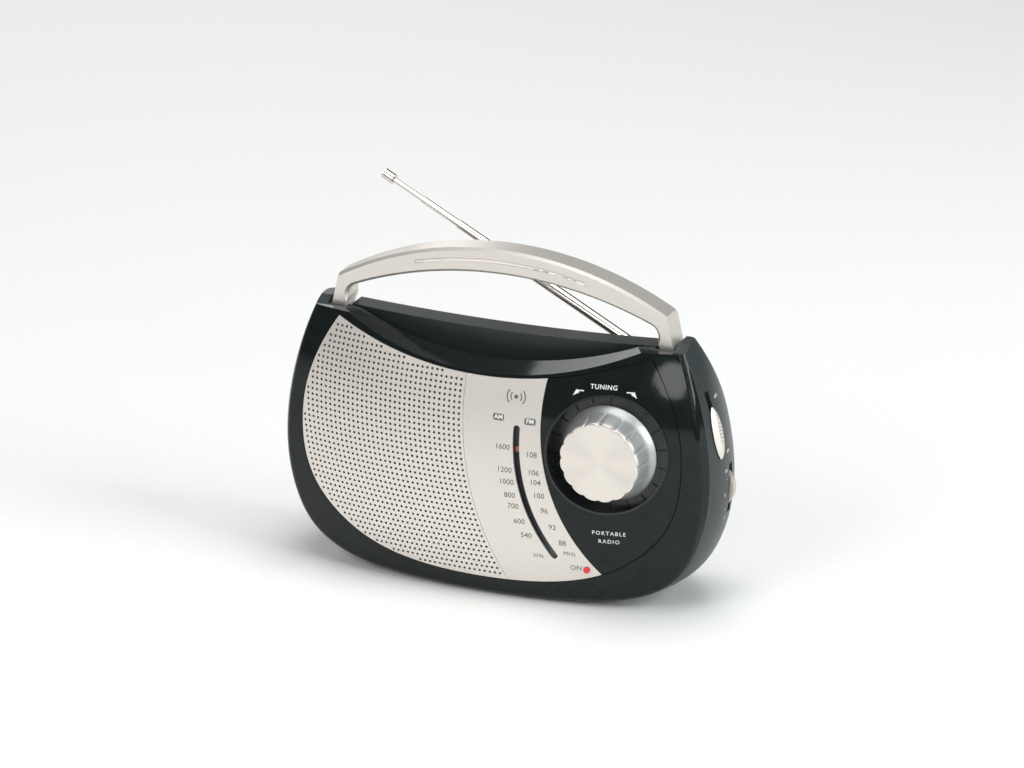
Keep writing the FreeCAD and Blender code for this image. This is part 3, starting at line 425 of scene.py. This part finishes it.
# %% Cut the plate
grille = bpy.data.objects.new("grille_plate", plate.data.copy())
bpy.context.scene.collection.objects.link(grille)
pick(grille)
bpy.ops.object.mode_set(mode="EDIT")
bpy.ops.mesh.select_all(action="SELECT")
bpy.ops.mesh.remove_doubles(threshold=0.002 * MM)
bpy.ops.object.mode_set(mode="OBJECT")
bpy.ops.mesh.customdata_custom_splitnormals_clear()
cutter = grille.modifiers.new("holes", "BOOLEAN")
cutter.operation = "DIFFERENCE"
cutter.solver = "EXACT"
cutter.object = punch
bpy.ops.object.modifier_apply(modifier="holes")
bpy.data.objects.remove(punch)
settle(grille, "perforated_grille", "case", "silver_paint", angle=40)
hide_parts("speaker_grille")

# %% [markdown]
# ## Printing on the dial
#
# The scale is printed: dark grey figures in two arcs that share their centre with the pointer's slot, the
# AM scale outside it and the FM scale inside. Each figure is a text object turned into a mesh, so it is a
# real film of ink, five hundredths of a millimetre thick, pressed onto the curved plate and a little into
# it, so that no gap shows under its edge.

# %% The centre of the scale
slot_centre = Vector(JOINTS["pointer_travel"]["pos_m"])
INK = 0.05 * MM
FIGURE = 3.7 * MM
STROKE = 0.015 * MM                    # makes the figures a little heavier
dial = NODES["dial_plate"]
finish("ink_grey", (0.12, 0.12, 0.125), 0.5, grain=2500, tint=0.1)
finish("ink_white", (0.80, 0.82, 0.82), 0.45, grain=2500, tint=0.03)


def flat_text(words, height, fineness, heavy=0.0, spread=1.0):
    """Words as a flat mesh about the origin; spread sets the letters apart."""
    start_clean()
    bpy.ops.object.text_add(location=(0, 0, 0))
    text = bpy.context.object
    text.data.body = words
    text.data.size = height
    text.data.align_x, text.data.align_y = "CENTER", "CENTER"
    text.data.extrude = INK / 2
    text.data.offset = heavy
    text.data.resolution_u = fineness
    text.data.space_character = spread
    bpy.ops.object.convert(target="MESH")
    return bpy.context.object


def ink_text(words, height, x, z, node, heavy=0.0, spread=1.0):
    """Words printed on a node's front face, centred at x, z."""
    text = flat_text(words, height, 3, heavy, spread)
    text.data.transform(Matrix.Translation((x, 0, z)) @ Matrix.Rotation(math.pi / 2, 4, "X"))
    press_on(text, node, (0, 1, 0), INK / 4)
    return text


def scale_place(radius_mm, below_level):
    """A point on an arc about the slot's centre, by its angle below level in degrees."""
    a = math.radians(below_level)
    return (slot_centre.x - radius_mm * MM * math.cos(a), slot_centre.z - radius_mm * MM * math.sin(a))


# %% The figures
AM_ARC, FM_ARC = 105.4, 91.5
AM_SCALE = {"1600": 3.2, "1200": 9.2, "1000": 12.4, "800": 16.0, "700": 19.0, "600": 23.3, "540": 27.4}
FM_SCALE = {"108": 5.1, "106": 10.5, "104": 13.5, "100": 17.6, "96": 22.4, "92": 27.9, "88": 33.5}
prints = []
for arc, scale in ((AM_ARC, AM_SCALE), (FM_ARC, FM_SCALE)):
    for words, angle in scale.items():
        x, z = scale_place(arc, angle)
        prints.append(ink_text(words, FIGURE, x, z, dial, heavy=STROKE))
for words, arc, angle, height in (("kHz", 105.5, 33.5, 3.1), ("MHz", 91.9, 37.3, 3.1)):
    x, z = scale_place(arc, angle)
    prints.append(ink_text(words, height * MM, x, z, dial))
lamp_low, lamp_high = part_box("led_lens")
lamp = (lamp_low + lamp_high) / 2
prints.append(ink_text("ON", 3.5 * MM, lamp.x - 5.0 * MM, lamp.z + 0.5 * MM, dial, heavy=STROKE))


# %% [markdown]
# The two band badges are small dark lozenges with light letters. A plane has its corners rounded by
# a vertex bevel, and a Solidify gives it the thickness of the ink. Above them a plain
# radio-wave sign fills the place where a maker would put a mark.

# %% Badges and wave sign
def ink_badge(wide, high, corner, x, z, node):
    """A rounded lozenge of ink."""
    start_clean()
    bpy.ops.mesh.primitive_plane_add(size=1, location=(0, 0, 0), rotation=(math.pi / 2, 0, 0))
    badge = bpy.context.object
    badge.scale = (wide, high, 1)
    bpy.ops.object.transform_apply(location=True, rotation=True, scale=True)
    bpy.ops.object.mode_set(mode="EDIT")
    bpy.ops.mesh.bevel(offset=corner, segments=4, affect="VERTICES")
    bpy.ops.object.mode_set(mode="OBJECT")
    badge.data.transform(Matrix.Translation((x, 0, z)))
    press_on(badge, node, (0, 1, 0), INK / 2)
    thicken(badge, INK)
    return badge


def ink_arc(radius, wide, a0, a1, x, z, node):
    """A curved stroke of ink: one edge spun about a centre, angles in degrees."""
    start_clean()
    bpy.ops.mesh.primitive_plane_add(size=1, location=(0, 0, 0))
    stroke = bpy.context.object
    steps = 10
    stroke.data.clear_geometry()
    points, faces = [], []
    for i in range(steps + 1):
        a = math.radians(a0 + (a1 - a0) * i / steps)
        for r in (radius - wide / 2, radius + wide / 2):
            points.append((x + r * math.cos(a), 0, z + r * math.sin(a)))
    for i in range(steps):
        faces.append((2 * i, 2 * i + 1, 2 * i + 3, 2 * i + 2))
    stroke.data.from_pydata(points, [], faces)
    press_on(stroke, node, (0, 1, 0), INK / 2)
    thicken(stroke, INK)
    return stroke


BADGES = {"AM": (9.6, 91.7), "FM": (24.9, 91.2)}
badge_letters = []
for words, (x, z) in BADGES.items():
    prints.append(ink_badge(5.4 * MM, 3.1 * MM, 0.8 * MM, x * MM, z * MM, dial))
    letters = ink_text(words, 3.0 * MM, x * MM, z * MM, dial, heavy=0.06 * MM)
    letters.data.transform(Matrix.Translation((0, -INK, 0)))
    badge_letters.append(letters)
sign_x, sign_z = 17.5 * MM, 102.0 * MM
for side in (0, 180):
    for radius in (2.6, 4.4):
        prints.append(ink_arc(radius * MM, 0.55 * MM, side - 42, side + 42, sign_x, sign_z, dial))
prints.append(ink_arc(0.5 * MM, 1.0 * MM, 0, 360, sign_x, sign_z, dial))


# %% Join the inks
def join_print(pieces, name, slot, paint, body="case"):
    """All the strokes of one ink become one piece."""
    pick(*pieces)
    bpy.ops.object.join()
    film = bpy.context.object
    settle(film, name, body, slot)
    film.data.materials.clear()
    film.data.materials.append(FINISHES[paint])
    return film


join_print(prints, "dial_figures", "dark_plastic", "ink_grey")
join_print(badge_letters, "badge_letters", "white_plastic", "ink_white")

# %% [markdown]
# On the dark side the words are white. The two arrows beside the heading show that the knob turns both
# ways: each is a small arrowhead and a short straight tail.

# %% Printing round the knob
fascia = NODES["knob_fascia"]
whites = [ink_text("TUNING", 3.0 * MM, 58.1 * MM, 110.1 * MM, fascia, heavy=0.05 * MM, spread=1.12)]
whites.append(ink_text("PORTABLE", 2.7 * MM, 63.0 * MM, 40.6 * MM, fascia, heavy=0.02 * MM, spread=1.3))
whites.append(ink_text("RADIO", 2.7 * MM, 63.0 * MM, 36.4 * MM, fascia, heavy=0.02 * MM, spread=1.3))


HEAD_RADIUS = 1.9 * MM
HEAD_NARROW, HEAD_LONG = 0.62, 1.15
HEAD_TURN = -137                         # degrees, mirrored for the other side


def ink_arrow(x, z, side):
    """An arrowhead pointing down and outwards, without its tail; side is -1 left, +1 right."""
    start_clean()
    bpy.ops.mesh.primitive_circle_add(vertices=3, radius=HEAD_RADIUS, fill_type="NGON")
    head = bpy.context.object
    head.data.transform(Matrix.Diagonal((HEAD_NARROW, HEAD_LONG, 1, 1)))
    head.data.transform(Matrix.Rotation(math.radians(side * HEAD_TURN), 4, "Z"))
    head.data.transform(Matrix.Translation((x, 0, z)) @ Matrix.Rotation(math.pi / 2, 4, "X"))
    press_on(head, fascia, (0, 1, 0), INK / 2)
    thicken(head, INK)
    return head


for side, x, z in ((-1, 45.6, 107.0), (1, 72.0, 107.6)):
    whites.append(ink_arrow(x * MM, z * MM, side))
    whites.append(ink_badge(3.0 * MM, 0.55 * MM, 0.2 * MM, (x - side * 2.0) * MM, (z + 0.9) * MM, fascia))
join_print(whites, "fascia_words", "white_plastic", "ink_white")

# %% [markdown]
# The side controls have small marks of their own: the two bands at the ends of the switch's track, and
# 0, 5 and 10 with short ticks beside the volume wheel. They are printed on the side wall, so the text is
# turned to face right before it is pressed on.

# %% Marks on the side
side_wall = NODES["rear_shell"]
wheel_at = Vector(JOINTS["volume_turn"]["pos_m"])
FACE_RIGHT = Matrix(((0, 0, 1, 0), (1, 0, 0, 0), (0, 1, 0, 0), (0, 0, 0, 1)))


def side_text(words, height, y, z):
    """Words printed on the right-hand wall, centred at y, z."""
    text = flat_text(words, height, 2)
    text.data.transform(Matrix.Translation((0, y, z)) @ FACE_RIGHT)
    press_on(text, side_wall, (-1, 0, 0), INK / 4)
    return text


# the second dash has a space after it, because a key can be used only once
SIDE_MARKS = {"AM": (-3.0, 45.0), "FM": (-1.9, 18.5), "10": (-6.0, 10.0), "-": (-5.6, 6.0),
              "5": (-7.0, -1.6), "- ": (-5.4, -8.9), "0": (-4.2, -13.9)}
marks = [side_text(words, 2.4 * MM, wheel_at.y + y * MM, wheel_at.z + z * MM)
         for words, (y, z) in SIDE_MARKS.items()]
join_print(marks, "side_marks", "white_plastic", "ink_white")

# %% [markdown]
# ## The tuning knob
#
# The frame's knob is a cone with narrow grooves. The real one is nearly straight where the fingers hold it,
# with sixteen shallow lobes that fade out towards the flared foot, and a turned metal cap whose edge has the
# same lobes. A lathe form is a grid whose columns are wrapped round the axis: that keeps the rows even,
# and one formula then presses the lobes in. A Boolean would leave ragged edges on so many small cuts.

# %% Lathe forms
LOBES = 16
LOBE_DEPTH = 0.8 * MM


def lathe(profile, columns, axis_at, shape):
    """A profile of (radius, y) in millimetres turned round an axis along Y through axis_at."""
    rows = len(profile) - 1
    start_clean()
    bpy.ops.mesh.primitive_grid_add(x_subdivisions=columns, y_subdivisions=rows, size=1)
    form = bpy.context.object
    for vertex in form.data.vertices:
        angle = (vertex.co.x + 0.5) * 2 * math.pi
        radius, y = profile[round((vertex.co.y + 0.5) * rows)]
        radius = shape(radius * MM, y * MM, angle)
        vertex.co = (axis_at.x + radius * math.cos(angle), y * MM, axis_at.z + radius * math.sin(angle))
    close_seams(form, 0.003 * MM)
    return form


def lobe(angle, sharp):
    """0 in the middle of a lobe, 1 in the notch beside it; a higher power makes the notch narrower."""
    share = (angle * LOBES / (2 * math.pi)) % 1
    return abs(2 * share - 1) ** sharp


# %% The knob's skirt and cap
knob_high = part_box("tuning_knob")[1]
cap_low, cap_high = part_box("tuning_knob_cap")
foot_y, face_y, cap_y = knob_high.y / MM, cap_high.y / MM, cap_low.y / MM
FLUTES_END = foot_y - 4.4                # the lobes have faded out here


def fluted(radius, y, angle):
    """Lobes on the outside of the skirt, deepest at the cap."""
    fade = min(max((FLUTES_END - y / MM) / (FLUTES_END - face_y), 0), 1)
    outside = 1 if radius > 17 * MM else 0
    return radius - LOBE_DEPTH * lobe(angle, 7) * fade ** 0.45 * outside


def scalloped(radius, y, angle):
    """The same lobes round the cap's edge."""
    share = min(max((radius / MM - 16.5) / 2.5, 0), 1)
    return radius - LOBE_DEPTH * lobe(angle, 2.6) * share


SKIRT = [(3.0, face_y), (10.0, face_y), (17.2, face_y), (18.9, face_y), (19.15, face_y + 0.25)]
SKIRT += [(19.15 + 1.65 * i / 8, face_y + 0.25 + (FLUTES_END - face_y - 0.25) * i / 8) for i in range(1, 9)]
SKIRT += [(21.2, foot_y - 3.4), (21.7, foot_y - 2.5), (22.3, foot_y - 1.6), (22.9, foot_y - 0.8),
          (23.15, foot_y - 0.35), (23.15, foot_y), (5.5, foot_y), (3.0, foot_y), (3.0, face_y)]
skirt = lathe(SKIRT, LOBES * 24, knob_axis, fluted)
settle(skirt, "tuning_knob_skirt", "tuning_drive", "silver_knob", angle=35)
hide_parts("tuning_knob")
CAP = [(0.0, cap_y), (5.0, cap_y), (10.0, cap_y), (15.0, cap_y), (17.5, cap_y), (18.6, cap_y),
       (19.0, cap_y + 0.12), (19.2, cap_y + 0.4), (19.2, face_y), (16.0, face_y), (0.0, face_y)]
cap = lathe(CAP, LOBES * 24, knob_axis, scalloped)
settle(cap, "tuning_knob_face", "tuning_drive", "spun_cap", angle=35)
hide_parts("tuning_knob_cap")

# %% [markdown]
# ## The band switch knob
#
# It is a slim leaf, pointed at both ends, with a ridge nearer its front edge: the narrow front slope is
# smooth and bright, and the wide outer slope has a few slanting ribs for the thumb. A fine grid takes this
# form as a height above the case's side, which the frame's own plain knob gives at six points. A Solidify
# then turns the sheet into a closed piece.

# %% The leaf
leaf_low, leaf_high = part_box("band_switch_knob")
plain_knob = NODES["band_switch_knob"]
LEAF_PROUD = 2.0 * MM
leaf_y, leaf_z = (leaf_low.y + leaf_high.y) / 2, (leaf_low.z + leaf_high.z) / 2
leaf_half, leaf_long = 3.4 * MM, (leaf_high.z - leaf_low.z) / 2
probe_y, probe_z = 1.8 * MM, leaf_long * 0.72


def side_at(y, z):
    """How far out the case's side lies under the knob, from six rays to the plain knob."""
    across = (y - leaf_y) / probe_y
    up = (z - leaf_z) / probe_z
    edges = []
    for side in (-1, 1):
        depths = []
        for step in (-1, 0, 1):
            start = Vector((0.2, leaf_y + side * probe_y, leaf_z + step * probe_z))
            hit, place, _, _ = plain_knob.ray_cast(start, Vector((-1, 0, 0)))
            assert hit, "the plain knob isn't where it should be"
            depths.append(place.x - LEAF_PROUD)
        bend = (depths[0] + depths[2]) / 2 - depths[1]
        edges.append(depths[1] + up * (depths[2] - depths[0]) / 2 + up * up * bend)
    return (edges[0] + edges[1]) / 2 + across * (edges[1] - edges[0]) / 2


start_clean()
bpy.ops.mesh.primitive_grid_add(x_subdivisions=22, y_subdivisions=110, size=2)
leaf = bpy.context.object
RIDGE = -0.28                            # where the ridge runs, from -1 at the front to 1 at the rear
EDGE_UP, RIDGE_UP, REAR_DROP = 0.45, 2.0, 0.95    # heights above the case's side, millimetres
RIB_DEPTH, RIB_PACE = 0.28, 46                    # millimetres, and radians along half the leaf
for vertex in leaf.data.vertices:
    across, along = vertex.co.x, vertex.co.y
    y = leaf_y + across * leaf_half * max(1 - along * along, 0) ** 0.62
    z = leaf_z + along * leaf_long
    if across < RIDGE:
        share = (across + 1) / (RIDGE + 1)
        height = EDGE_UP + (RIDGE_UP - EDGE_UP) * share
    else:
        share = (across - RIDGE) / (1 - RIDGE)
        height = RIDGE_UP - REAR_DROP * share
        thumb = max(1 - (along / 0.5) ** 4, 0) * min(share * 5, 1) * min((1 - share) * 5, 1)
        height -= RIB_DEPTH * thumb * (0.5 + 0.5 * math.sin(along * RIB_PACE + share * 4))
    height = EDGE_UP + (height - EDGE_UP) * max(1 - along ** 8, 0)
    vertex.co = (side_at(y, z) + height * MM, y, z)
close_seams(leaf, 0.01 * MM)
thicken(leaf, 0.35 * MM, offset=-1)
settle(leaf, "band_switch_leaf", "band_knob", "silver_paint", angle=28)
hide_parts("band_switch_knob")

# %% [markdown]
# ## Behind the pointer's slot
#
# Through the curved slot one sees a dark strip, not the works. It is a grid wrapped round the slot's
# centre, just behind the pointer's blade, so the pointer passes in front of it.

# %% The screen behind the slot
SCREEN_IN, SCREEN_OUT = 96.4, 101.8      # radii, millimetres
SCREEN_FROM, SCREEN_SWEEP = -2, 38       # degrees below level
SCREEN_BACK = 1.05 * MM                  # behind the front of the pointer's blade
pointer_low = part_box("dial_pointer")[0]
start_clean()
bpy.ops.mesh.primitive_grid_add(x_subdivisions=40, y_subdivisions=2, size=1)
screen = bpy.context.object
for vertex in screen.data.vertices:
    below = math.radians(SCREEN_FROM + SCREEN_SWEEP * (vertex.co.x + 0.5))
    radius = (SCREEN_IN + (SCREEN_OUT - SCREEN_IN) * (vertex.co.y + 0.5)) * MM
    vertex.co = (slot_centre.x - radius * math.cos(below), pointer_low.y + SCREEN_BACK,
                 slot_centre.z - radius * math.sin(below))
thicken(screen, 0.25 * MM)
finish("screen_grey", (0.075, 0.085, 0.09), 0.55, grain=900, tint=0.08)
settle(screen, "slot_screen", "case", "dark_plastic")
screen.data.materials[0] = FINISHES["screen_grey"]

# %% [markdown]
# ## The table
#
# A wide pale sheet. It belongs to the studio and not to the radio.

# %% Floor
TABLE_SIZE = 4.2                         # metres: fills the main view; its far edge shows in some others
start_clean()
bpy.ops.mesh.primitive_plane_add(size=TABLE_SIZE, location=(0, 0, 0))
floor = bpy.context.object
floor.name = "table_top"
finish("table_paper", (0.93, 0.93, 0.92), 0.8, grain=300, tint=0.01, relief=0.02)
floor.data.materials.append(FINISHES["table_paper"])
